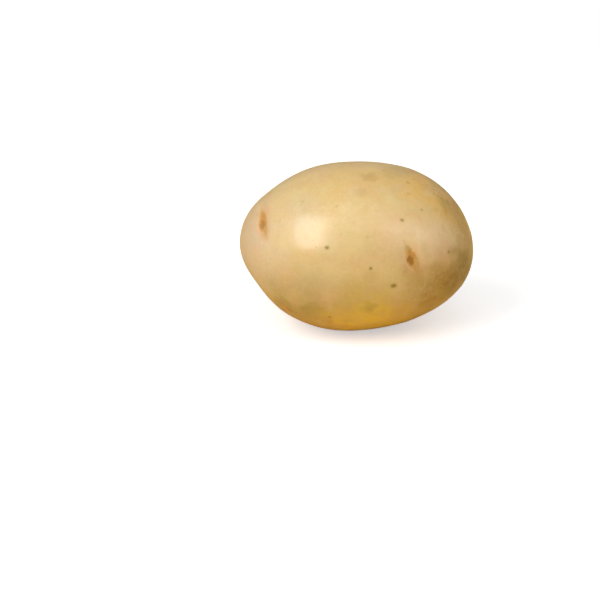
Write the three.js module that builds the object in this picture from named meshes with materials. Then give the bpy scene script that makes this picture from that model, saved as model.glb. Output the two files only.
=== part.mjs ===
// A smooth, washed potato: one solid tuber, lying on its side on a small pressed flat.
// Millimetres, +Z up. +X runs along the tuber to the stem end, where it hung on its stolon, and -X is the
// rose end, where the eyes crowd together. -Y is the front. The origin is the middle of the footprint.

import * as THREE from "three";
import { mergeVertices } from "three/addons/utils/BufferGeometryUtils.js";

// Overall sizes, over the finished tuber
const tuberLength = 88; // along X
const tuberWidth = 70; // along Y
const tuberHeight = 62.5; // along Z, from the resting flat to the top

// The resting flat: how deep the underside is pressed in, and the height over which it rounds away
const restDepth = 0.9;
const restRounding = 0.4;

// Fineness of the surface: each edge of an icosahedron is split into this many, plus one
const edgeSplits = 18;

// Broad swellings (+) and hollows (-) that keep the tuber from being a plain ellipsoid.
// toward is the direction they face, lift is in mm, and reach is how wide they spread, in degrees.
const swellings = [
  { name: "flat cheek, low on the rose end", toward: [-0.87, -0.2, -0.46], lift: -2.3, reach: 21 },
  { name: "slack upper shoulder", toward: [-0.72, 0.28, 0.63], lift: -0.6, reach: 17 },
  { name: "full upper shoulder", toward: [0.57, 0.33, 0.75], lift: 0.9, reach: 26 },
  { name: "slack above the stem end", toward: [0.95, 0.13, 0.28], lift: -0.5, reach: 18 },
  { name: "slack belly", toward: [0.34, -0.37, -0.86], lift: -1.4, reach: 30 },
  { name: "full back", toward: [-0.35, 0.85, -0.1], lift: 1.2, reach: 34 },
  { name: "hollow behind the stem end", toward: [0.72, 0.66, 0.1], lift: -1.4, reach: 24 },
  { name: "low saddle on the back", toward: [0.15, 0.8, 0.5], lift: -0.7, reach: 20 },
];

// The eyes climb the tuber in a loose spiral and crowd towards the rose end.
// along runs from -1, the rose end, to 1, the stem end. turn is in degrees about the long axis, from the
// front up over the top. span follows the girth and across follows the length, in mm. lean tilts the span.
const eyes = [
  { along: -0.975, turn: 205, span: 8, across: 5.5, depth: 0.7, lean: 10 },
  { along: -0.79, turn: 49, span: 14, across: 6, depth: 0.8, lean: 15 },
  { along: -0.7, turn: 186, span: 13, across: 6.5, depth: 0.9, lean: 8 },
  { along: -0.57, turn: -42, span: 9, across: 5, depth: 0.5, lean: 30 },
  { along: -0.38, turn: 132, span: 14, across: 6.5, depth: 0.9, lean: -5 },
  { along: 0.1, turn: -136, span: 13, across: 6, depth: 0.8, lean: 6 },
  { along: 0.45, turn: 15, span: 13, across: 6, depth: 0.7, lean: 26 },
  { along: 0.6, turn: 158, span: 13, across: 6, depth: 0.8, lean: 4 },
  { along: 0.84, turn: -82, span: 10, across: 5, depth: 0.6, lean: -8 },
];
const browHeight = 0.25; // the low ridge on the stem side of each eye, left by the scale leaf

// The scar of the stolon, a round pit at the stem end
const stolonScar = { along: 0.975, turn: 160, span: 7, across: 7, depth: 1.3, lean: 0 };

const halfSizes = new THREE.Vector3(tuberLength, tuberWidth, tuberHeight + restDepth).divideScalar(2);

// A unit direction from a place along the tuber and a turn about it
function directionAt(along, turn) {
  const girth = Math.sqrt(1 - along * along);
  const angle = THREE.MathUtils.degToRad(turn);
  return new THREE.Vector3(along, -girth * Math.cos(angle), girth * Math.sin(angle));
}

// The outward normal of the plain ellipsoid in a direction
function normalAt(direction) {
  return direction.clone().divide(halfSizes).normalize();
}

// The body: an ellipsoid lifted along its normal by every swelling, each a bell curve of the angle from it
const swellingDirections = swellings.map((swelling) => new THREE.Vector3(...swelling.toward).normalize());

function bodyPoint(direction) {
  let lift = 0;
  swellings.forEach((swelling, index) => {
    const angle = THREE.MathUtils.radToDeg(direction.angleTo(swellingDirections[index]));
    lift += swelling.lift * Math.exp(-((angle / swelling.reach) ** 2));
  });
  return direction.clone().multiply(halfSizes).addScaledVector(normalAt(direction), lift);
}

// An eye's own frame on the body: its centre, its normal, and the two ways its shape is measured in
function eyeFrame(eye) {
  const direction = directionAt(eye.along, eye.turn);
  const normal = normalAt(direction);
  const lengthways = new THREE.Vector3(1, 0, 0).addScaledVector(normal, -normal.x).normalize();
  const spanways = new THREE.Vector3().crossVectors(normal, lengthways);
  const lean = THREE.MathUtils.degToRad(eye.lean);
  lengthways.applyAxisAngle(normal, lean);
  spanways.applyAxisAngle(normal, lean);
  return { ...eye, centre: bodyPoint(direction), normal, lengthways, spanways };
}

const eyeFrames = eyes.map(eyeFrame);
const scarFrame = eyeFrame(stolonScar);

// How far a point moves along an eye's normal: down in a bell-shaped dimple as wide and long as the eye,
// and, with a brow, up in a thinner bell along its stem side
function eyeRelief(point, frame, brow) {
  const offset = point.clone().sub(frame.centre);
  const reach = frame.span + frame.across;
  if (offset.length() > reach) return 0;
  const spanShare = offset.dot(frame.spanways) / (frame.span / 2);
  const acrossShare = offset.dot(frame.lengthways) / (frame.across / 2);
  const dimple = frame.depth * Math.exp(-(spanShare ** 2) - acrossShare ** 2);
  const ridge = brow * Math.exp(-(spanShare ** 2) - ((acrossShare - 1.6) / 0.6) ** 2);
  return ridge - dimple;
}

// The underside is pressed in: a height under the flat comes up to it, and rounds away just above it
function pressedHeight(height, flatHeight) {
  const above = height - flatHeight;
  if (above <= -restRounding) return flatHeight;
  if (above >= restRounding) return height;
  return flatHeight + (above + restRounding) ** 2 / (4 * restRounding);
}

// Each step below changes every vertex of the sphere in place, and keeps the surface closed
function moveVertices(geometry, move) {
  const positions = geometry.attributes.position;
  const vertex = new THREE.Vector3();
  for (let index = 0; index < positions.count; index += 1) {
    vertex.fromBufferAttribute(positions, index);
    const moved = move(vertex);
    positions.setXYZ(index, moved.x, moved.y, moved.z);
  }
  geometry.computeBoundingBox();
}

function tuberGeometry() {
  const sphere = new THREE.IcosahedronGeometry(1, edgeSplits);
  sphere.deleteAttribute("normal");
  sphere.deleteAttribute("uv");
  const geometry = mergeVertices(sphere, 1e-5);

  moveVertices(geometry, (direction) => {
    const point = bodyPoint(direction.normalize());
    const moved = point.clone();
    for (const frame of eyeFrames) {
      moved.addScaledVector(frame.normal, eyeRelief(point, frame, browHeight));
    }
    return moved.addScaledVector(scarFrame.normal, eyeRelief(point, scarFrame, 0));
  });

  // The swellings move the extremes a little, so the body is brought back to its overall sizes
  const size = geometry.boundingBox.getSize(new THREE.Vector3());
  const centre = geometry.boundingBox.getCenter(new THREE.Vector3());
  const toSize = halfSizes.clone().multiplyScalar(2).divide(size);
  moveVertices(geometry, (point) => point.sub(centre).multiply(toSize));

  // Pressed on its flat, and stood on z = 0
  const flatHeight = restDepth - halfSizes.z;
  moveVertices(geometry, (point) => {
    point.z = pressedHeight(point.z, flatHeight) - flatHeight;
    return point;
  });

  geometry.computeVertexNormals();
  return geometry;
}

const skin = new THREE.MeshStandardMaterial({ color: 0xddc084, roughness: 0.42, metalness: 0 });

const potato = new THREE.Mesh(tuberGeometry(), skin);
potato.name = "potato";

const tuber = new THREE.Group();
tuber.add(potato);

export default tuber;
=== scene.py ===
import bpy
import numpy as np
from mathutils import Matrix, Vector


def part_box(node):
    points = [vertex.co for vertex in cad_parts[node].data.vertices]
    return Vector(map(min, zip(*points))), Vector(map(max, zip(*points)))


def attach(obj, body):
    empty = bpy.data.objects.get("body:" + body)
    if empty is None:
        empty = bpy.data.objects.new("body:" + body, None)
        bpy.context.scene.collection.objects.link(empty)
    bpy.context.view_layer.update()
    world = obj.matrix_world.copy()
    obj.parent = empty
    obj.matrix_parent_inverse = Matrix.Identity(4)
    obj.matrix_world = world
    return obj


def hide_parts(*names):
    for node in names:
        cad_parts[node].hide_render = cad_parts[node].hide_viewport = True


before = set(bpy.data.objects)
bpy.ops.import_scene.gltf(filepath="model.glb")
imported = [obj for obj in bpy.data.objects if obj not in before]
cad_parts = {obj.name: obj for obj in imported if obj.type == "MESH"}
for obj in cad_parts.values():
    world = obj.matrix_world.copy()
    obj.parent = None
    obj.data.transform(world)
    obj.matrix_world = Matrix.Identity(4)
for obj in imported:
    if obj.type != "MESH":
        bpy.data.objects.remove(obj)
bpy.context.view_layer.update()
print("frame loaded:", len(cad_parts), "node")

mm = 0.001  # everything below is in metres, so sizes are written as so many mm
low, high = (np.array(corner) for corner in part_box("potato"))
fullSize = high - low

# +X is the stem end, -X the rose end, -Y the front. Places are given by along, from -1 at the rose end
# to 1 at the stem end, and turn, in degrees about X from the front up over the top.
tuber = {
    "cells": 126,  # grid cells along each side of the six faces
    "restDepth": 0.9 * mm,  # how deep the underside is pressed in
    "restRounding": 0.4 * mm,
    "swellings": [  # (towards, lift, reach in degrees)
        ((-0.87, -0.20, -0.46), -2.3 * mm, 21),  # flat cheek, low on the rose end
        ((-0.72, 0.28, 0.63), -0.6 * mm, 17),  # slack upper shoulder
        ((0.57, 0.33, 0.75), 0.9 * mm, 26),  # full upper shoulder
        ((0.95, 0.13, 0.28), -0.5 * mm, 18),  # slack above the stem end
        ((0.34, -0.37, -0.86), -1.4 * mm, 30),  # slack belly
        ((-0.35, 0.85, -0.10), 1.2 * mm, 34),  # full back
        ((0.72, 0.66, 0.10), -1.4 * mm, 24),  # hollow behind the stem end
        ((0.15, 0.80, 0.50), -0.7 * mm, 20),  # low saddle on the back
    ],
    "ripples": [  # (how many waves, wavelength, height)
        (14, 26 * mm, 0.10 * mm),
        (24, 9 * mm, 0.025 * mm),
    ],
    "seed": 7,
}

# span is measured round the girth and across along the length, and lean tilts the span, in degrees.
# rust and core are how strongly the corky scar and its dark middle show.
eyeLook = {
    "eyes": [  # (along, turn, span, across, depth, lean, rust, core)
        (-0.975, 205, 8 * mm, 5.5 * mm, 0.7 * mm, 10, 0.7, 0.6),
        (-0.79, 49, 14 * mm, 6.0 * mm, 0.8 * mm, 15, 0.85, 0.68),
        (-0.70, 186, 13 * mm, 6.5 * mm, 0.9 * mm, 8, 0.8, 0.8),
        (-0.57, -42, 9 * mm, 5.0 * mm, 0.5 * mm, 30, 0.4, 0.3),
        (-0.38, 132, 14 * mm, 6.5 * mm, 0.9 * mm, -5, 0.9, 0.8),
        (0.10, -136, 13 * mm, 6.0 * mm, 0.8 * mm, 6, 0.7, 0.7),
        (0.45, 15, 13 * mm, 6.0 * mm, 0.7 * mm, 26, 0.9, 1.0),
        (0.60, 158, 13 * mm, 6.0 * mm, 0.8 * mm, 4, 0.7, 0.8),
        (0.84, -82, 10 * mm, 5.0 * mm, 0.6 * mm, -8, 0.6, 0.6),
    ],
    "scarSpan": 14 * mm,  # the span of an eye on which the scar's own measures are given
    "brow": 0.25 * mm,  # the ridge on the stem side, left by the scale leaf
    "browPlace": 1.6,  # in half widths of the eye
    "browWidth": 0.6,
    "pit": 0.35 * mm,  # the nest of the buds, in the middle of the dimple
    "pitRadius": 1.5 * mm,
    "pitStretch": 0.45,  # less than 1 draws the pit out along the span
    "bud": 0.22 * mm,
    "budRadius": 0.7 * mm,
    "budPlace": 1.2 * mm,  # either side of the middle, along the span
    "budStray": (0.4 * mm, 0.25 * mm),  # how far a bud strays along the span and across it
    "fold": 0.12 * mm,  # the fine crease along the brow
    "foldRadius": 0.55 * mm,
    "foldBow": (0.45, 0.35),  # its place at mid span and how far its ends bend back, in half widths
    "reach": 11 * mm,  # how far from an eye its own coordinates are kept
}

stolonLook = {
    "along": 0.975,
    "turn": 160,
    "width": 7 * mm,
    "depth": 1.3 * mm,
    "rim": 0.35 * mm,
    "rimPlace": 1.35,  # in radii of the scar
    "rimWidth": 0.35,
    "far": 9.0,  # the radius given to skin that is nowhere near the scar
    "edge": (1.2 * mm, 7.7),  # noise that makes the edges ragged, as (size, seed)
    "ragged": 0.9,
    "ring": (1.6, 0.9),  # the radii where it starts and where it is full
    "ringShown": 0.75,
    "cork": (0.50, 0.30, 0.12),
    "pit": (0.75, 0.35),
    "pitShown": 0.85,
    "hole": (0.13, 0.07, 0.025),
}

# Lenticels and small stains. tone runs from 0, brown, to 1, olive.
spotLook = {
    "placed": [  # (along, turn, width, height, tone, strength)
        (-0.235, 23, 1.9 * mm, 1.5 * mm, 0.65, 1.00),
        (0.12, 10, 1.3 * mm, 1.3 * mm, 0.55, 0.90),
        (0.31, -3, 2.5 * mm, 1.9 * mm, 0.55, 1.00),
        (0.37, 43, 1.7 * mm, 1.5 * mm, 0.15, 0.85),
        (0.53, 54, 1.2 * mm, 1.0 * mm, 0.30, 0.50),
        (0.42, 78, 1.4 * mm, 1.2 * mm, 0.05, 0.50),
        (0.42, 66, 1.2 * mm, 1.2 * mm, 0.15, 0.35),
        (0.76, 20, 1.1 * mm, 1.1 * mm, 0.70, 0.80),
        (-0.21, -31, 1.5 * mm, 1.3 * mm, 0.05, 0.75),
        (-0.52, -36, 1.3 * mm, 1.0 * mm, 0.20, 0.60),
        (-0.44, 58, 1.0 * mm, 0.9 * mm, 0.30, 0.25),
        (-0.16, 51, 1.0 * mm, 0.9 * mm, 0.30, 0.30),
        (-0.12, 32, 1.0 * mm, 0.9 * mm, 0.35, 0.25),
        (0.09, 30, 0.9 * mm, 0.9 * mm, 0.35, 0.22),
        (-0.32, 23, 0.8 * mm, 0.8 * mm, 0.35, 0.30),
        (0.22, 88, 1.1 * mm, 1.0 * mm, 0.20, 0.30),
        (-0.05, 96, 1.2 * mm, 1.0 * mm, 0.30, 0.35),
        (0.66, 4, 0.9 * mm, 0.8 * mm, 0.40, 0.25),
        (-0.70, 12, 0.8 * mm, 0.8 * mm, 0.20, 0.22),
    ],
    "scattered": 46,  # more of them, over the sides that the front does not show
    "hidden": (108, 298),  # those sides, in degrees of turn
    "widths": (0.9 * mm, 2.4 * mm),  # of the scattered ones
    "pit": 0.05 * mm,
    "reach": 3.2,  # in radii of the spot
    "seed": 21,
    "edge": (0.8 * mm, 2.4),  # noise that makes the edge ragged, as (size, seed)
    "stainMark": (1.5, 0.8, 0.6, 0.35),  # (radius in radii of the spot, ragged, soft, shown)
    "dotMark": (0.8, 0.9, 0.55, 0.9),
    "brown": (0.40, 0.210, 0.035),
    "olive": (0.32, 0.225, 0.025),
    "stain": (0.62, 0.42, 0.16),
}


# A vector divided by its own length.
def unit(vectors):
    return vectors / np.linalg.norm(vectors, axis=-1, keepdims=True)


# A cube's six faces blown up to a sphere: on each, the direction is (1, tan u, tan v) brought to length 1,
# with u and v in even steps from -45 to 45 degrees. Corners shared by two faces are merged.
def sphereGrid(cells):
    steps = np.tan(np.linspace(-np.pi / 4, np.pi / 4, cells + 1))
    across, up = np.meshgrid(steps, steps, indexing="ij")
    ahead = np.ones_like(across)
    corner = np.arange((cells + 1) ** 2).reshape(cells + 1, cells + 1)
    rounds = (corner[:-1, :-1], corner[1:, :-1], corner[1:, 1:], corner[:-1, 1:])
    cell = np.stack(rounds, axis=-1).reshape(-1, 4)
    directions, quads = [], []
    for axis in range(3):
        for side in (1, -1):
            face = np.stack([ahead * side, across, up], axis=-1).reshape(-1, 3)
            directions.append(np.roll(face, axis, axis=1))
            ordered = cell if side == 1 else cell[:, ::-1]
            quads.append(ordered + len(quads) * (cells + 1) ** 2)
    directions = unit(np.concatenate(directions))
    merged = np.unique(np.round(directions, 6), axis=0, return_index=True, return_inverse=True)
    first, shared = merged[1], merged[2].reshape(-1)
    return directions[first], shared[np.concatenate(quads)]


# The direction of a place: (along, -girth x cos turn, girth x sin turn), with girth the root of
# 1 - along squared, so that it has length 1.
def directionAt(along, turn):
    girth = np.sqrt(1 - along**2)
    angle = np.radians(turn)
    return np.array([along, -girth * np.cos(angle), girth * np.sin(angle)])


# The body: an ellipsoid, lifted along its normal by each swelling, which is a bell curve of the angle
# between a point's direction and the swelling's own.
def bodyPoints(directions, halfSize):
    lift = np.zeros(len(directions))
    for towards, height, reach in tuber["swellings"]:
        cosine = np.clip(directions @ unit(np.array(towards)), -1, 1)
        lift += height * np.exp(-((np.degrees(np.arccos(cosine)) / reach) ** 2))
    return directions * halfSize + unit(directions / halfSize) * lift[:, None]


# The coordinates about a place: how far round the girth and how far along the tuber, both in metres and
# turned by the lean, then 1 near the place fading to 0 at its reach, and the normal there.
def localCoordinates(points, along, turn, lean, reach, halfSize):
    direction = directionAt(along, turn)
    centre = bodyPoints(direction[None], halfSize)[0]
    normal = unit(direction / halfSize)
    lengthways = unit(np.array([1.0, 0, 0]) - normal * normal[0])
    spanways = np.cross(normal, lengthways)
    cosine, sine = np.cos(np.radians(lean)), np.sin(np.radians(lean))
    spanTurned = spanways * cosine + np.cross(normal, spanways) * sine
    lengthTurned = lengthways * cosine + np.cross(normal, lengthways) * sine
    offset = points - centre
    distance = np.linalg.norm(offset, axis=1)
    near = np.clip((reach - distance) / (0.3 * reach), 0, 1)  # fading over the last 0.3 of the reach
    return offset @ spanTurned, offset @ lengthTurned, near * near * (3 - 2 * near), normal


# An eye's relief: a bell-shaped dimple as long and wide as the eye, a thinner bell for the brow on its
# stem side, a pit with two round buds in it, and a fine fold that bends round the pit under the brow.
def eyeRelief(span, length, spanWidth, lengthWidth, depth, randomness):
    s, t = span / (spanWidth / 2), length / (lengthWidth / 2)
    relief = -depth * np.exp(-(s**2) - t**2)
    fromBrow = (t - eyeLook["browPlace"]) / eyeLook["browWidth"]
    relief += eyeLook["brow"] * np.exp(-(s**2) - fromBrow**2)
    fromPit = (span**2 * eyeLook["pitStretch"] + length**2) / eyeLook["pitRadius"] ** 2
    relief -= eyeLook["pit"] * np.exp(-fromPit)
    for side in (-1, 1):
        budSpan = side * eyeLook["budPlace"] + randomness.normal() * eyeLook["budStray"][0]
        budLength = randomness.normal() * eyeLook["budStray"][1]
        fromBud = ((span - budSpan) ** 2 + (length - budLength) ** 2) / eyeLook["budRadius"] ** 2
        relief += eyeLook["bud"] * np.exp(-fromBud)
    middle, bend = eyeLook["foldBow"]
    fromFold = (length - (middle - bend * s**2) * lengthWidth / 2) / eyeLook["foldRadius"]
    atEnds = (0.9 * s) ** 4  # the fold dies out just past the ends of the span
    return relief - eyeLook["fold"] * np.exp(-(fromFold**2) - atEnds)


# Ripples: sine waves with seeded random directions and phases, added up and divided by the root of half
# their number.
def ripples(points, randomness):
    relief = np.zeros(len(points))
    for count, wavelength, height in tuber["ripples"]:
        for heading in unit(randomness.normal(size=(count, 3))):
            phase = randomness.uniform(0, 2 * np.pi)
            wave = np.sin(points @ heading * 2 * np.pi / wavelength + phase)
            relief += height * wave / np.sqrt(count / 2)
    return relief


# The spots: the placed ones, and seeded random ones on the sides away from the front.
def allSpots():
    randomness = np.random.default_rng(spotLook["seed"])
    spots = list(spotLook["placed"])
    while len(spots) < len(spotLook["placed"]) + spotLook["scattered"]:
        along, turn = randomness.uniform(-0.95, 0.95), randomness.uniform(*spotLook["hidden"])
        width = randomness.uniform(*spotLook["widths"])
        tone, strength = randomness.uniform(0.1, 0.9), randomness.uniform(0.2, 0.9)
        spots.append((along, turn, width, width * randomness.uniform(0.7, 1.0), tone, strength))
    return spots


# The pressed flat: heights well under it come up to it, and the step is rounded by a parabola.
def pressed(heights):
    rounding = tuber["restRounding"]
    curve = (heights + rounding) ** 2 / (4 * rounding)
    return np.where(heights <= -rounding, 0, np.where(heights >= rounding, heights, curve))


# The whole skin: body, ripples, eyes, stolon scar and spots, each moving the points along a normal, then
# stretched to the frame's box and pressed on its flat. Each point keeps its place in the nearest eye, spot
# and scar, for the material to colour by.
def makeTuber():
    halfSize = (fullSize + np.array([0, 0, tuber["restDepth"]])) / 2
    directions, quads = sphereGrid(tuber["cells"])
    body = bodyPoints(directions, halfSize)
    normals = unit(directions / halfSize)
    randomness = np.random.default_rng(tuber["seed"])
    points = body + normals * ripples(body, randomness)[:, None]

    eyePlace = np.zeros((len(body), 3))
    eyeNature = np.zeros((len(body), 3))
    for along, turn, span, across, depth, lean, rust, core in eyeLook["eyes"]:
        s, t, near, normal = localCoordinates(body, along, turn, lean, eyeLook["reach"], halfSize)
        relief = eyeRelief(s, t, span, across, depth, randomness) * near
        points += normal * relief[:, None]
        closer = near > eyePlace[:, 2]
        scale = span / eyeLook["scarSpan"]
        eyePlace[closer] = np.stack([s / mm / scale, t / mm / scale, near], axis=1)[closer]
        eyeNature[closer] = (rust, core, 0)

    s, t, near, normal = localCoordinates(
        body, stolonLook["along"], stolonLook["turn"], 0, eyeLook["reach"], halfSize)
    radius = np.hypot(s, t) / (stolonLook["width"] / 2)
    stolonReach = np.where(near > 0, radius, stolonLook["far"])
    fromRim = (radius - stolonLook["rimPlace"]) / stolonLook["rimWidth"]
    scar = stolonLook["rim"] * np.exp(-(fromRim**2)) - stolonLook["depth"] * np.exp(-(radius**2))
    points += normal * (scar * near)[:, None]

    spotPlace = np.zeros((len(body), 3))
    spotNature = np.zeros((len(body), 3))
    for along, turn, width, height, tone, strength in allSpots():
        reach = spotLook["reach"] * width / 2
        s, t, near, normal = localCoordinates(body, along, turn, 0, reach, halfSize)
        p, q = t / (width / 2), s / (height / 2)
        points -= normal * (spotLook["pit"] * strength * np.exp(-(p**2) - q**2) * near)[:, None]
        closer = near > spotPlace[:, 2]
        spotPlace[closer] = np.stack([p, q, near], axis=1)[closer]
        spotNature[closer] = (tone, strength, 0)

    lowest, highest = points.min(axis=0), points.max(axis=0)
    points = (points - (lowest + highest) / 2) * (2 * halfSize / (highest - lowest))
    points += (low + high) / 2
    points[:, 2] = low[2] + pressed(points[:, 2] - low[2] - tuber["restDepth"] / 2)

    mesh = bpy.data.meshes.new("potatoTuber")
    mesh.from_pydata(points.tolist(), [], quads.tolist())
    mesh.update()
    mesh.shade_smooth()
    kept = {"eyePlace": eyePlace, "eyeNature": eyeNature, "spotPlace": spotPlace, "spotNature": spotNature}
    for name, values in kept.items():
        attribute = mesh.attributes.new(name, "FLOAT_VECTOR", "POINT")
        attribute.data.foreach_set("vector", values.astype(np.float32).ravel())
    attribute = mesh.attributes.new("stolonReach", "FLOAT", "POINT")
    attribute.data.foreach_set("value", stolonReach.astype(np.float32))
    piece = bpy.data.objects.new("potatoTuber", mesh)
    bpy.context.scene.collection.objects.link(piece)
    return piece


potatoTuber = makeTuber()
print("tuber made:", len(potatoTuber.data.polygons), "faces")


def setInput(tree, socket, value):
    if isinstance(value, bpy.types.NodeSocket):
        tree.links.new(value, socket)
    elif value is not None:
        socket.default_value = value


def addNode(tree, kind, settings=None, **inputs):
    node = tree.nodes.new(kind)
    for name, value in (settings or {}).items():
        setattr(node, name, value)
    for name, value in inputs.items():
        setInput(tree, node.inputs[name.replace("_", " ")], value)
    return node


def sums(tree, operation, first, second=None, third=None):
    node = addNode(tree, "ShaderNodeMath", {"operation": operation})
    for socket, value in zip(node.inputs, (first, second, third)):
        setInput(tree, socket, value)
    return node.outputs[0]


def times(tree, first, *others):
    for other in others:
        first = sums(tree, "MULTIPLY", first, other)
    return first


def highest(tree, first, *others):
    for other in others:
        first = sums(tree, "MAXIMUM", first, other)
    return first


def vectorSums(tree, operation, first, second=None, scale=None):
    node = addNode(tree, "ShaderNodeVectorMath", {"operation": operation})
    setInput(tree, node.inputs[0], first)
    setInput(tree, node.inputs[1], second)
    if scale is not None:
        setInput(tree, node.inputs["Scale"], scale)
    return node.outputs["Value" if operation == "DISTANCE" else "Vector"]


# 0 at start and 1 at end, in an S-curve.
def ramp(tree, value, start, end):
    node = addNode(tree, "ShaderNodeMapRange", {"interpolation_type": "SMOOTHSTEP"},
                   Value=value, From_Min=start, From_Max=end)
    return node.outputs["Result"]


def noise(tree, point, size, seed=0.0, detail=2.0):
    scale = sums(tree, "DIVIDE", 1.0, size)
    node = addNode(tree, "ShaderNodeTexNoise", {"noise_dimensions": "4D"},
                   Vector=point, W=seed, Scale=scale, Detail=detail)
    return node.outputs[0]


# Noise about 0, mostly within a half of it. One swing is shared by all the edges it makes ragged.
def swings(tree, point, size, seed):
    return sums(tree, "SUBTRACT", noise(tree, point, size, seed, 3.0), 0.5)


def mixColour(tree, factor, under, over):
    node = addNode(tree, "ShaderNodeMix", {"data_type": "RGBA"})
    for name, value in (("Factor_Float", factor), ("A_Color", under), ("B_Color", over)):
        socket = next(s for s in node.inputs if s.identifier == name)
        setInput(tree, socket, (*value, 1) if isinstance(value, tuple) else value)
    return next(s for s in node.outputs if s.identifier == "Result_Color")


def makeGroup(name, inputs, build):
    group = bpy.data.node_groups.new(name, "ShaderNodeTree")
    for inputName, default in inputs.items():
        kind = "NodeSocketVector" if isinstance(default, tuple) else "NodeSocketFloat"
        socket = group.interface.new_socket(name=inputName, in_out="INPUT", socket_type=kind)
        socket.default_value = default
    group.interface.new_socket(name="Mask", in_out="OUTPUT", socket_type="NodeSocketFloat")
    start, end = group.nodes.new("NodeGroupInput"), group.nodes.new("NodeGroupOutput")
    group.links.new(build(group, start.outputs), end.inputs["Mask"])
    return group


def useGroup(tree, group, **inputs):
    return addNode(tree, "ShaderNodeGroup", {"node_tree": group}, **inputs).outputs["Mask"]


# A soft patch: 1 in the middle, falling to 0 at its reach, with an edge that a swing pushes in and out.
def zoneNodes(tree, given):
    distance = vectorSums(tree, "DISTANCE", given["Point"], given["Centre"])
    share = sums(tree, "DIVIDE", distance, given["Reach"])
    return ramp(tree, sums(tree, "MULTIPLY_ADD", given["Swing"], given["Ragged"], share), 1.0, 0.2)


# Mottling: noise of a given grain, kept between two levels.
def mottleNodes(tree, given):
    grain = noise(tree, given["Point"], given["Grain"], given["Seed"], 3.0)
    return ramp(tree, grain, given["Low"], given["High"])


# A scar shaped like a lens, with a ragged edge: |t| = half width x (1 - (s / half span) squared), with s
# measured along the span and t across it.
def lensNodes(tree, given):
    place = addNode(tree, "ShaderNodeSeparateXYZ", Vector=given["Place"]).outputs
    s = sums(tree, "DIVIDE", sums(tree, "SUBTRACT", place["X"], given["Slide"]), given["Half Span"])
    t = sums(tree, "DIVIDE", sums(tree, "SUBTRACT", place["Y"], given["Shift"]), given["Half Width"])
    shape = sums(tree, "MULTIPLY_ADD", s, s, sums(tree, "ABSOLUTE", t))
    shape = sums(tree, "MULTIPLY_ADD", given["Swing"], given["Ragged"], shape)
    outer, inner = sums(tree, "ADD", 1.0, given["Soft"]), sums(tree, "SUBTRACT", 1.0, given["Soft"])
    return times(tree, ramp(tree, shape, outer, inner), place["Z"])


# A round mark, 1 inside its radius, with a ragged edge: the distance is the root of x squared + y squared.
def dotNodes(tree, given):
    place = addNode(tree, "ShaderNodeSeparateXYZ", Vector=given["Place"]).outputs
    squares = sums(tree, "MULTIPLY_ADD", place["X"], place["X"], times(tree, place["Y"], place["Y"]))
    distance = sums(tree, "DIVIDE", sums(tree, "SQRT", squares), given["Radius"])
    distance = sums(tree, "MULTIPLY_ADD", given["Swing"], given["Ragged"], distance)
    outer, inner = sums(tree, "ADD", 1.0, given["Soft"]), sums(tree, "SUBTRACT", 1.0, given["Soft"])
    return times(tree, ramp(tree, distance, outer, inner), place["Z"])


# A fine line along one side of such a lens: t = half width x (1 - (s / half span) squared).
def lensLineNodes(tree, given):
    place = addNode(tree, "ShaderNodeSeparateXYZ", Vector=given["Place"]).outputs
    s = sums(tree, "DIVIDE", sums(tree, "SUBTRACT", place["X"], given["Slide"]), given["Half Span"])
    bulge = sums(tree, "SUBTRACT", 1.0, times(tree, s, s))
    away = sums(tree, "SUBTRACT", place["Y"], times(tree, bulge, given["Half Width"]))
    away = sums(tree, "MULTIPLY_ADD", given["Swing"], given["Ragged"], away)
    line = ramp(tree, sums(tree, "ABSOLUTE", away), given["Thick"], 0.0)
    fade = ramp(tree, sums(tree, "ABSOLUTE", s), 1.0, 0.5)
    return times(tree, line, fade, place["Z"])


# Netting: thin lines on the edges of cells warped by noise, 1 on a line, broken up by gaps. Line is a
# line's half width, Drift how far the cells are warped and Gap the size of the gaps, all in cells.
def nettingNodes(tree, given):
    perCell = sums(tree, "DIVIDE", 1.0, given["Cell"])
    drift = addNode(tree, "ShaderNodeTexNoise", Vector=given["Point"], Detail=3.0,
                    Scale=times(tree, perCell, 0.8)).outputs["Color"]
    drift = vectorSums(tree, "SUBTRACT", drift, (0.5, 0.5, 0.5))
    drift = vectorSums(tree, "SCALE", drift, scale=times(tree, given["Cell"], given["Drift"]))
    warped = vectorSums(tree, "ADD", given["Point"], drift)
    cells = addNode(tree, "ShaderNodeTexVoronoi", {"feature": "DISTANCE_TO_EDGE"},
                    Vector=warped, Scale=perCell)
    line = ramp(tree, cells.outputs["Distance"], given["Line"], 0.0)
    broken = noise(tree, given["Point"], times(tree, given["Cell"], given["Gap"]), seed=8.8)
    return times(tree, line, ramp(tree, broken, given["Low"], given["High"]))


# Pores: round marks at random points, 1 in the middle of a mark. The rarer, the fewer cells have one.
def poreNodes(tree, given):
    perCell = sums(tree, "DIVIDE", 1.0, given["Cell"])
    cells = addNode(tree, "ShaderNodeTexVoronoi", {"feature": "F1"}, Vector=given["Point"], Scale=perCell)
    chosen = addNode(tree, "ShaderNodeSeparateColor", Color=cells.outputs["Color"]).outputs["Red"]
    mark = ramp(tree, cells.outputs["Distance"], given["Radius"], 0.0)
    return times(tree, mark, ramp(tree, chosen, given["Rarity"], 1.0))


# Scuffs: noise drawn out along one heading, kept only where it is highest.
def scuffNodes(tree, given):
    drawn = addNode(tree, "ShaderNodeMapping", {"vector_type": "TEXTURE"}, Vector=given["Point"],
                    Rotation=given["Heading"], Scale=given["Stretch"]).outputs["Vector"]
    streaks = noise(tree, drawn, given["Width"], seed=6.1, detail=1.0)
    return ramp(tree, streaks, given["Low"], given["High"])


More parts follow.
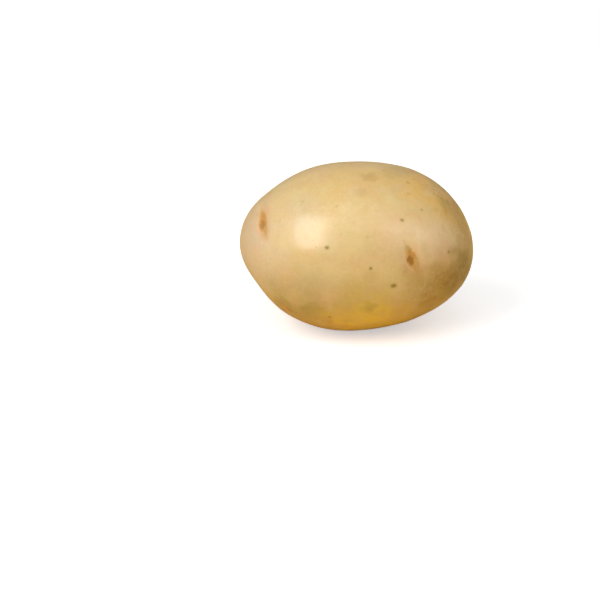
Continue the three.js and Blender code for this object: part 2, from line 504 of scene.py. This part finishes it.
zoneGroup = makeGroup("softZone", {
    "Point": (0, 0, 0), "Centre": (0, 0, 0), "Reach": 20 * mm, "Swing": 0.0, "Ragged": 0.6,
}, zoneNodes)
mottleGroup = makeGroup("mottle", {
    "Point": (0, 0, 0), "Grain": 4 * mm, "Seed": 0.0, "Low": 0.4, "High": 0.7,
}, mottleNodes)
nettingGroup = makeGroup("netting", {
    "Point": (0, 0, 0), "Cell": 1.5 * mm, "Line": 0.1, "Drift": 2.2, "Gap": 3.0, "Low": 0.40, "High": 0.62,
}, nettingNodes)
poreGroup = makeGroup("pores", {
    "Point": (0, 0, 0), "Cell": 1.5 * mm, "Radius": 0.3, "Rarity": 0.4,
}, poreNodes)
scuffGroup = makeGroup("scuffs", {
    "Point": (0, 0, 0), "Heading": (0, 0, 0), "Stretch": (14.0, 1.0, 1.0), "Width": 0.45 * mm,
    "Low": 0.62, "High": 0.74,
}, scuffNodes)
lensGroup = makeGroup("lensScar", {
    "Place": (0, 0, 0), "Half Span": 6.0, "Half Width": 2.0, "Slide": 0.0, "Shift": 0.0,
    "Swing": 0.0, "Ragged": 0.5, "Soft": 0.3,
}, lensNodes)
dotGroup = makeGroup("dotMark", {
    "Place": (0, 0, 0), "Radius": 1.0, "Swing": 0.0, "Ragged": 0.5, "Soft": 0.4,
}, dotNodes)
lensLineGroup = makeGroup("lensLine", {
    "Place": (0, 0, 0), "Half Span": 6.0, "Half Width": 2.0, "Slide": 0.0,
    "Swing": 0.0, "Ragged": 0.4, "Thick": 0.3,
}, lensLineNodes)
print("pattern groups made")


# Where on the tuber a patch of colour sits: the body's own point at a place along and a turn.
def skinPlace(along, turn):
    point = bodyPoints(directionAt(along, turn)[None], fullSize / 2)[0] + (low + high) / 2
    return tuple(float(value) for value in point)


# An edge here is the noise that makes it ragged, as (size, seed).
skinLook = {
    "ground": (0.79, 0.585, 0.27),
    "zoneEdge": (8 * mm, 3.1),
    "zones": [  # (along, turn, reach, ragged, strength, colour)
        (-0.10, 25, 34 * mm, 0.7, 0.50, (0.75, 0.59, 0.26)),  # the clear yellow of the middle
        (0.05, 85, 34 * mm, 0.8, 0.75, (0.82, 0.545, 0.19)),  # deeper yellow over the top
        (-0.93, 8, 27 * mm, 0.6, 0.90, (0.74, 0.575, 0.41)),  # pinkish buff on the rose end
        (-0.25, 8, 14 * mm, 0.9, 0.50, (0.76, 0.60, 0.32)),
        # painted highlight: paler skin under the gloss of the key light, to whiten it
        (-0.49, 48, 13 * mm, 0.8, 0.60, (0.73, 0.59, 0.35)),
        (-0.66, 3, 13 * mm, 0.9, 0.50, (0.73, 0.59, 0.39)),
        (-0.45, -22, 22 * mm, 0.8, 0.75, (0.62, 0.485, 0.275)),  # painted shade low towards the rose end, deeper in the next two
        # these two: deeper painted shade, low on the rose end
        (-0.50, -38, 17 * mm, 0.9, 0.75, (0.44, 0.32, 0.095)),
        (-0.38, -22, 11 * mm, 0.9, 0.45, (0.46, 0.38, 0.13)),
        (0.62, 82, 22 * mm, 1.0, 0.85, (0.87, 0.53, 0.135)),  # tanned shoulder over the stem end
        (0.84, 68, 11 * mm, 1.4, 0.60, (0.70, 0.41, 0.06)),
        (0.66, 27, 13 * mm, 0.9, 0.85, (0.88, 0.64, 0.37)),  # pinkish buff on the stem side
        (0.35, 30, 14 * mm, 1.0, 0.40, (0.82, 0.54, 0.27)),
        (0.70, -17, 18 * mm, 1.0, 0.85, (0.46, 0.245, 0.035)),  # painted shade under the stem end, with a painted brown reflection in it
        (0.92, -16, 16 * mm, 0.9, 0.88, (0.32, 0.19, 0.050)),
        (0.05, -64, 34 * mm, 0.5, 0.90, (0.80, 0.52, 0.11)),  # golden belly: painted warm bounce light, as from tubers below
        # darker skin low on the front
        (0.00, -14, 13 * mm, 0.9, 0.50, (0.64, 0.48, 0.15)),
        # painted warm bounce light, strongest on the belly
        (0.14, -46, 22 * mm, 0.8, 0.92, (1.00, 0.76, 0.12)),
        (-0.30, 165, 34 * mm, 0.8, 0.60, (0.76, 0.55, 0.29)),  # and over the back
        (0.55, 215, 26 * mm, 1.0, 0.60, (0.70, 0.48, 0.20)),
    ],
    "patchEdge": (2.5 * mm, 3.3),
    "patchRagged": 1.2,
    "patches": [  # small ones: (along, turn, reach, strength, colour)
        (0.72, 71, 5.0 * mm, 0.50, (0.50, 0.38, 0.08)),
        (0.30, 87, 7.0 * mm, 0.35, (0.58, 0.42, 0.11)),
        (0.36, 96, 6.0 * mm, 0.30, (0.58, 0.42, 0.11)),
        (0.76, -26, 5.0 * mm, 0.40, (0.42, 0.30, 0.07)),
        (0.84, 93, 4.5 * mm, 0.60, (0.58, 0.25, 0.035)),
        (0.72, 101, 9.0 * mm, 0.45, (0.58, 0.36, 0.06)),
        (0.48, 2, 6.5 * mm, 0.45, (0.54, 0.34, 0.08)),
        (0.42, 8, 3.0 * mm, 0.30, (0.56, 0.32, 0.07)),
        (0.11, -21, 4.0 * mm, 0.45, (0.52, 0.40, 0.08)),
        (-0.23, -39, 3.4 * mm, 0.35, (0.58, 0.34, 0.08)),
        (0.10, 76, 4.5 * mm, 0.50, (0.60, 0.36, 0.11)),
        (0.04, 61, 3.4 * mm, 0.35, (0.62, 0.40, 0.16)),
        (0.12, 3, 3.4 * mm, 0.35, (0.62, 0.42, 0.17)),
        (0.59, 101, 3.4 * mm, 0.50, (0.74, 0.36, 0.13)),
        (0.46, 99, 3.2 * mm, 0.45, (0.74, 0.36, 0.13)),
        (-0.765, 58, 3.6 * mm, 0.55, (0.86, 0.46, 0.22)),
        (-0.50, 150, 7.0 * mm, 0.35, (0.55, 0.42, 0.12)),
        (0.20, 190, 6.0 * mm, 0.35, (0.55, 0.42, 0.12)),
    ],
    "mottles": [  # (grain, seed, low, high, strength, tint)
        (10 * mm, 1.0, 0.45, 0.68, 0.40, (0.82, 0.52, 0.28)),
        (8 * mm, 2.0, 0.47, 0.70, 0.34, (0.83, 0.68, 0.35)),
        (5 * mm, 9.0, 0.52, 0.74, 0.30, (0.68, 0.47, 0.16)),
        (2.4 * mm, 3.0, 0.50, 0.75, 0.26, (0.70, 0.46, 0.17)),
        (1.3 * mm, 4.0, 0.52, 0.72, 0.24, (0.90, 0.71, 0.42)),
    ],
    "nettedEdge": (6 * mm, 3.7),
    "nettedRagged": 1.4,
    "netted": [  # where the netting shows: (along, turn, reach, strength)
        (0.84, 78, 17 * mm, 0.50),
        (0.60, 88, 14 * mm, 0.30),
        (-0.60, -52, 12 * mm, 0.30),
        (0.50, -150, 24 * mm, 0.40),
        (-0.97, 180, 16 * mm, 0.40),
    ],
    "nettings": [(1.7 * mm, 0.16, 1.0), (0.7 * mm, 0.20, 0.7)],  # (cell, line, share)
    "netting": (0.50, 0.26, 0.06),
    "nettingTan": (0.70, 0.39, 0.07),  # the skin between the lines
    "nettingTanShown": 0.30,
    "nettingAllOver": 0.06,
    "pores": (1.3 * mm, 0.26, 0.45),  # (cell, radius in cells, rarity)
    "pore": (0.46, 0.27, 0.08),
    "poreShown": 0.34,
    "flecks": (2.3 * mm, 0.20, 0.55),
    "fleck": (0.90, 0.74, 0.47),
    "fleckShown": 0.44,
    "scuffs": [(0.3, 0.5, 0.9), (1.1, -0.4, -0.5)],  # headings, as turns about X, Y and Z in radians
    "scuffed": (11 * mm, 6.9, 0.50, 0.62),  # where they are: (grain, seed, low, high) of a mottling
    "scuff": (0.88, 0.70, 0.44),
    "scuffShown": 0.26,
    "roughness": 0.34,
    "roughGrain": (5 * mm, 14.0),  # (size, seed) of the noise that varies it, by roughSwing
    "roughSwing": 0.16,
    "roughCork": 0.28,  # added on cork and netting
    "roughScuffs": 0.12,
    "corkOnSpots": 0.5,  # how corky the middle of a spot counts
    "coat": 0.29,
    "coatOnCork": 0.03,
    "coatRoughness": 0.145,
    "glowThrough": 0.30,  # how much light travels under the skin
    "glowReach": 1.4 * mm,
    "glowColours": (1.0, 0.45, 0.2),  # its share of that reach for red, green and blue
}


# Broad zones, mottling and small patches, each mixed over what is below it by its own mask.
def skinColour(tree, point):
    colour = skinLook["ground"]
    broad = swings(tree, point, *skinLook["zoneEdge"])
    small = swings(tree, point, *skinLook["patchEdge"])
    for along, turn, reach, ragged, strength, tint in skinLook["zones"]:
        mask = useGroup(tree, zoneGroup, Point=point, Centre=skinPlace(along, turn), Reach=reach,
                        Swing=broad, Ragged=ragged)
        colour = mixColour(tree, times(tree, mask, strength), colour, tint)
    for grain, seed, start, end, strength, tint in skinLook["mottles"]:
        mask = useGroup(tree, mottleGroup, Point=point, Grain=grain, Seed=seed, Low=start, High=end)
        colour = mixColour(tree, times(tree, mask, strength), colour, tint)
    for along, turn, reach, strength, tint in skinLook["patches"]:
        mask = useGroup(tree, zoneGroup, Point=point, Centre=skinPlace(along, turn), Reach=reach,
                        Swing=small, Ragged=skinLook["patchRagged"])
        colour = mixColour(tree, times(tree, mask, strength), colour, tint)
    return colour


# How much netting there is, a little all over and more in the netted places, and the mask of its lines.
def skinNetting(tree, point):
    netted = skinLook["nettingAllOver"]
    broad = swings(tree, point, *skinLook["nettedEdge"])
    for along, turn, reach, strength in skinLook["netted"]:
        mask = useGroup(tree, zoneGroup, Point=point, Centre=skinPlace(along, turn), Reach=reach,
                        Swing=broad, Ragged=skinLook["nettedRagged"])
        netted = sums(tree, "MULTIPLY_ADD", mask, strength, netted)
    lines = [times(tree, useGroup(tree, nettingGroup, Point=point, Cell=cell, Line=line), share)
             for cell, line, share in skinLook["nettings"]]
    return netted, times(tree, highest(tree, *lines), netted)


# Scuffs in their headings, only where a broad mottling is high.
def skinScuffs(tree, point):
    grain, seed, start, end = skinLook["scuffed"]
    where = useGroup(tree, mottleGroup, Point=point, Grain=grain, Seed=seed, Low=start, High=end)
    scuffs = [useGroup(tree, scuffGroup, Point=point, Heading=heading) for heading in skinLook["scuffs"]]
    return times(tree, highest(tree, *scuffs), where)


# The corky scar in an eye, in layers from below. Sizes and places are in mm on an eye of scarSpan: slide is
# along the span and shift towards the stem end. share says which of the eye's own strengths a layer takes.
scarLook = {
    "edge": (1.1 * mm, 1.3),
    "lenses": [  # (half span, half width, slide, shift, soft, ragged, strength, share, colour)
        (8.0, 3.6, 0.0, 0.2, 0.70, 0.6, 0.34, "all", (0.82, 0.50, 0.28)),  # pink halo
        (3.4, 2.0, -5.0, 0.5, 0.80, 1.2, 0.50, "rust", (0.60, 0.35, 0.09)),  # tail
        (2.1, 1.3, 4.2, 0.6, 0.65, 1.2, 0.60, "rust", (0.64, 0.39, 0.08)),  # golden tip
        (4.8, 2.4, -0.3, 0.4, 0.55, 1.3, 0.70, "rust", (0.62, 0.335, 0.06)),  # tan cork
        (3.1, 1.4, 1.2, 0.9, 0.60, 1.7, 0.70, "rust", (0.66, 0.27, 0.035)),  # orange scab
        (0.8, 0.7, 1.9, 2.4, 0.60, 1.0, 0.60, "rust", (0.84, 0.38, 0.08)),
        (1.6, 0.6, -2.8, -1.5, 0.70, 1.2, 0.50, "all", (0.68, 0.30, 0.10)),  # red streak
        (2.4, 1.25, -0.4, -0.2, 0.55, 1.9, 0.92, "core", (0.39, 0.163, 0.004)),  # dark heart
    ],
    "lines": [  # (half span, half width, slide, thick, ragged, strength, share, colour)
        (5.6, -2.4, 0.0, 0.8, 0.8, 0.45, "all", (0.94, 0.62, 0.32)),  # painted highlight along the rim on the rose side
        (7.5, 2.2, -0.4, 0.5, 1.0, 0.45, "rust", (0.46, 0.25, 0.06)),  # painted shade along the fold under the brow, as is the next line
        (8.5, 0.8, 1.2, 0.4, 0.9, 0.40, "rust", (0.44, 0.27, 0.08)),
    ],
}


# The layers as masks and colours, each shown by the eye's own rust or core, and how corky the place is.
def scarLayers(tree, point, place, nature):
    natures = addNode(tree, "ShaderNodeSeparateXYZ", Vector=nature).outputs
    share = {"rust": natures["X"], "core": natures["Y"], "all": 1.0}
    swing = swings(tree, point, *scarLook["edge"])
    layers, corky = [], 0.0
    for span, width, slide, shift, soft, ragged, strength, kind, colour in scarLook["lenses"]:
        mask = useGroup(tree, lensGroup, Place=place, Half_Span=span, Half_Width=width, Slide=slide,
                        Shift=shift, Swing=swing, Ragged=ragged, Soft=soft)
        layers.append((times(tree, mask, share[kind], strength), colour))
        if kind != "all":
            corky = highest(tree, corky, times(tree, mask, share[kind]))
    for span, width, slide, thick, ragged, strength, kind, colour in scarLook["lines"]:
        mask = useGroup(tree, lensLineGroup, Place=place, Half_Span=span, Half_Width=width,
                        Slide=slide, Swing=swing, Ragged=ragged, Thick=thick)
        layers.append((times(tree, mask, share[kind], strength), colour))
    return layers, corky


# A spot is a faint stain round a small ragged dot, brown or olive by its own tone. Gives the two layers
# and the dot's mask.
def spotLayers(tree, point, place, nature):
    natures = addNode(tree, "ShaderNodeSeparateXYZ", Vector=nature).outputs
    swing = swings(tree, point, *spotLook["edge"])
    masks = []
    for radius, ragged, soft, shown in (spotLook["stainMark"], spotLook["dotMark"]):
        mask = useGroup(tree, dotGroup, Place=place, Radius=radius, Swing=swing, Ragged=ragged, Soft=soft)
        masks.append(times(tree, mask, natures["Y"], shown))
    stain, dot = masks
    dotColour = mixColour(tree, natures["X"], spotLook["brown"], spotLook["olive"])
    return [(stain, spotLook["stain"]), (dot, dotColour)], dot


# The stolon's scar: a corky ring round a dark pit, both with ragged edges. Gives the two layers and the
# ring's mask.
def stolonLayers(tree, point, radius):
    swing = swings(tree, point, *stolonLook["edge"])
    ragged = sums(tree, "MULTIPLY_ADD", swing, stolonLook["ragged"], radius)
    ring = ramp(tree, ragged, *stolonLook["ring"])
    pit = ramp(tree, ragged, *stolonLook["pit"])
    layers = [
        (times(tree, ring, stolonLook["ringShown"]), stolonLook["cork"]),
        (times(tree, pit, stolonLook["pitShown"]), stolonLook["hole"]),
    ]
    return layers, ring


# One bump for all the fine relief: heights are added up, noises as (size, height) and then what stands
# proud or is sunk.
bumpLook = {
    "grain": (0.45 * mm, 0.014 * mm),
    "swells": (2.6 * mm, 0.045 * mm),
    "crumbs": (0.7 * mm, 0.30 * mm),  # on cork only
    "netting": 0.03 * mm,
    "scuffs": -0.008 * mm,
    "pores": -0.015 * mm,
    "dots": -0.05 * mm,
}


def skinBump(tree, point, masks):
    height = 0.0
    for name, share in (("grain", 1.0), ("swells", 1.0), ("crumbs", masks["cork"])):
        size, rise = bumpLook[name]
        relief = noise(tree, point, size, seed=11.0, detail=3.0)
        height = sums(tree, "ADD", height, times(tree, relief, share, rise))
    for name in ("netting", "scuffs", "pores", "dots"):
        height = sums(tree, "MULTIPLY_ADD", masks[name], bumpLook[name], height)
    return addNode(tree, "ShaderNodeBump", Height=height, Strength=1.0, Distance=1.0).outputs["Normal"]


# The skin's colour and its layers, from below: netting, pores, flecks, scuffs, eye scars, spots and the
# stolon's scar. Cork is rough and has almost no coat.
def makeSkin():
    material = bpy.data.materials.new("potatoSkin")
    material.use_nodes = True
    tree = material.node_tree
    shader = tree.nodes["Principled BSDF"]
    point = addNode(tree, "ShaderNodeTexCoord").outputs["Object"]
    read = {name: addNode(tree, "ShaderNodeAttribute", {"attribute_name": name}).outputs["Vector"]
            for name in ("eyePlace", "eyeNature", "spotPlace", "spotNature")}
    radius = addNode(tree, "ShaderNodeAttribute", {"attribute_name": "stolonReach"}).outputs["Fac"]

    netted, netting = skinNetting(tree, point)
    pores, flecks = (useGroup(tree, poreGroup, Point=point, Cell=cell, Radius=size, Rarity=rarity)
                     for cell, size, rarity in (skinLook["pores"], skinLook["flecks"]))
    scuffs = skinScuffs(tree, point)
    scars, corky = scarLayers(tree, point, read["eyePlace"], read["eyeNature"])
    spots, dots = spotLayers(tree, point, read["spotPlace"], read["spotNature"])
    stolon, ring = stolonLayers(tree, point, radius)
    cork = highest(tree, corky, ring, times(tree, dots, skinLook["corkOnSpots"]))

    layers = [
        (times(tree, netted, skinLook["nettingTanShown"]), skinLook["nettingTan"]),
        (netting, skinLook["netting"]),
        (times(tree, pores, skinLook["poreShown"]), skinLook["pore"]),
        (times(tree, flecks, skinLook["fleckShown"]), skinLook["fleck"]),
        (times(tree, scuffs, skinLook["scuffShown"]), skinLook["scuff"]),
    ]
    colour = skinColour(tree, point)
    for mask, tint in layers + scars + spots + stolon:
        colour = mixColour(tree, mask, colour, tint)

    grain = swings(tree, point, *skinLook["roughGrain"])
    rough = sums(tree, "MULTIPLY_ADD", grain, skinLook["roughSwing"], skinLook["roughness"])
    rough = sums(tree, "MULTIPLY_ADD", highest(tree, cork, netting), skinLook["roughCork"], rough)
    rough = sums(tree, "MULTIPLY_ADD", scuffs, skinLook["roughScuffs"], rough)
    lost = skinLook["coatOnCork"] - skinLook["coat"]
    coat = sums(tree, "MULTIPLY_ADD", cork, lost, skinLook["coat"])
    masks = {"cork": cork, "netting": netting, "scuffs": scuffs, "pores": pores, "dots": dots}
    setInput(tree, shader.inputs["Base Color"], colour)
    setInput(tree, shader.inputs["Roughness"], rough)
    setInput(tree, shader.inputs["Coat Weight"], coat)
    setInput(tree, shader.inputs["Normal"], skinBump(tree, point, masks))
    shader.inputs["Coat Roughness"].default_value = skinLook["coatRoughness"]
    shader.inputs["Subsurface Weight"].default_value = skinLook["glowThrough"]
    shader.inputs["Subsurface Radius"].default_value = skinLook["glowColours"]
    shader.inputs["Subsurface Scale"].default_value = skinLook["glowReach"]
    return material


potatoTuber.data.materials.append(makeSkin())
print("skin made")

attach(potatoTuber, "root")
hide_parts("potato")


stage = {
    "halfWidth": 6.0,  # of the floor
    "elevation": 22,  # of the camera, in degrees
    "distance": 0.63,
    "lens": 100,
    "aimRight": -0.238,  # where the camera looks, in lengths of the tuber from its middle
    "aimUp": -0.2416,
    "floorPaper": (0.86, 0.86, 0.86),  # as the camera sees it
    "floorBounce": (0.74, 0.52, 0.17),  # as it lights the underside
    "floorRoughness": 0.95,
    "floorGlow": 0.51,  # near the tuber
    "floorGlowFar": 0.95,  # far off, where the lights don't reach
    "floorGlowReach": (0.35, 1.6),  # metres from the tuber, from the one to the other
    "fill": 0.13,  # how much the white all round lights the tuber
    "gloss": 0.15,  # how much more of it the gloss shows
    "lights": [  # (name, towards, distance, width, height, roll, power, colour, shows in the gloss)
        ("key", (-0.555, -0.51, 0.667), 0.9, 0.34, 0.70, 30, 4.9, (1, 1, 1), True),
        ("topFront", (0.1, -0.35, 1), 0.9, 0.7, 0.7, 0, 2.0, (1, 1, 1), True),
        ("upperRight", (0.65, -0.5, 0.68), 0.9, 0.5, 0.5, 0, 1.7, (1, 1, 1), True),
        ("left", (-1, -0.25, 0.25), 0.9, 0.7, 0.7, 0, 1.1, (1, 0.98, 0.98), True),
        ("back", (0.1, 1, 0.3), 1.0, 1.0, 0.6, 0, 1.6, (1, 1, 1), False),
    ],
}


# The camera sees white paper that glows a little, and other rays meet it warm and plain.
def makeFloor():
    half = stage["halfWidth"]
    corners = [(-half, -half, 0), (half, -half, 0), (half, half, 0), (-half, half, 0)]
    mesh = bpy.data.meshes.new("floor")
    mesh.from_pydata(corners, [], [(0, 1, 2, 3)])
    piece = bpy.data.objects.new("floor", mesh)
    bpy.context.scene.collection.objects.link(piece)
    paper = bpy.data.materials.new("floorPaper")
    paper.use_nodes = True
    tree = paper.node_tree
    shader = tree.nodes["Principled BSDF"]
    shader.inputs["Roughness"].default_value = stage["floorRoughness"]
    shader.inputs["Specular IOR Level"].default_value = 0.0
    shader.inputs["Emission Color"].default_value = (1, 1, 1, 1)
    seen = addNode(tree, "ShaderNodeLightPath").outputs["Is Camera Ray"]
    colour = mixColour(tree, seen, stage["floorBounce"], stage["floorPaper"])
    setInput(tree, shader.inputs["Base Color"], colour)
    point = addNode(tree, "ShaderNodeTexCoord").outputs["Object"]
    far = ramp(tree, vectorSums(tree, "DISTANCE", point, (0, 0, 0)), *stage["floorGlowReach"])
    gain = stage["floorGlowFar"] - stage["floorGlow"]
    glow = sums(tree, "MULTIPLY_ADD", far, gain, stage["floorGlow"])
    setInput(tree, shader.inputs["Emission Strength"], times(tree, seen, glow))
    mesh.materials.append(paper)
    return piece


def lookAt(thing, target):
    thing.rotation_euler = (Vector(target) - thing.location).to_track_quat("-Z", "Y").to_euler()


def makeCamera():
    centre = Vector((low + high) / 2)
    elevation = np.radians(stage["elevation"])
    toCamera = Vector((0, -np.cos(elevation), np.sin(elevation)))
    up = Vector((0, np.sin(elevation), np.cos(elevation)))
    camera = bpy.data.objects.new("camera", bpy.data.cameras.new("camera"))
    bpy.context.scene.collection.objects.link(camera)
    camera.data.lens = stage["lens"]
    camera.location = centre + toCamera * stage["distance"]
    length = float(fullSize[0])
    aim = Vector((1, 0, 0)) * stage["aimRight"] + up * stage["aimUp"]
    lookAt(camera, centre + aim * length)
    bpy.context.scene.camera = camera


def makeLight(name, towards, distance, width, height, roll, power, colour, shine):
    light = bpy.data.lights.new(name, "AREA")
    light.shape = "RECTANGLE"
    light.size, light.size_y = width, height
    light.energy = power
    light.color = colour
    lamp = bpy.data.objects.new(name, light)
    bpy.context.scene.collection.objects.link(lamp)
    centre = Vector((low + high) / 2)
    lamp.location = centre + Vector(towards).normalized() * distance
    lookAt(lamp, centre)
    lamp.rotation_euler.rotate_axis("Z", np.radians(roll))
    lamp.visible_glossy = shine


# White all round for the camera, and much dimmer for the light it gives.
def makeWorld():
    world = bpy.data.worlds.new("studio")
    world.use_nodes = True
    tree = world.node_tree
    path = addNode(tree, "ShaderNodeLightPath").outputs
    seen = highest(tree, path["Is Camera Ray"], times(tree, path["Is Glossy Ray"], stage["gloss"]))
    background = tree.nodes["Background"]
    background.inputs["Color"].default_value = (1, 1, 1, 1)
    setInput(tree, background.inputs["Strength"], sums(tree, "ADD", seen, stage["fill"]))
    bpy.context.scene.world = world


floor = makeFloor()
makeCamera()
for light in stage["lights"]:
    makeLight(*light)
makeWorld()
bpy.context.scene.view_settings.view_transform = "Standard"
print("stage set:", len(stage["lights"]), "lights")
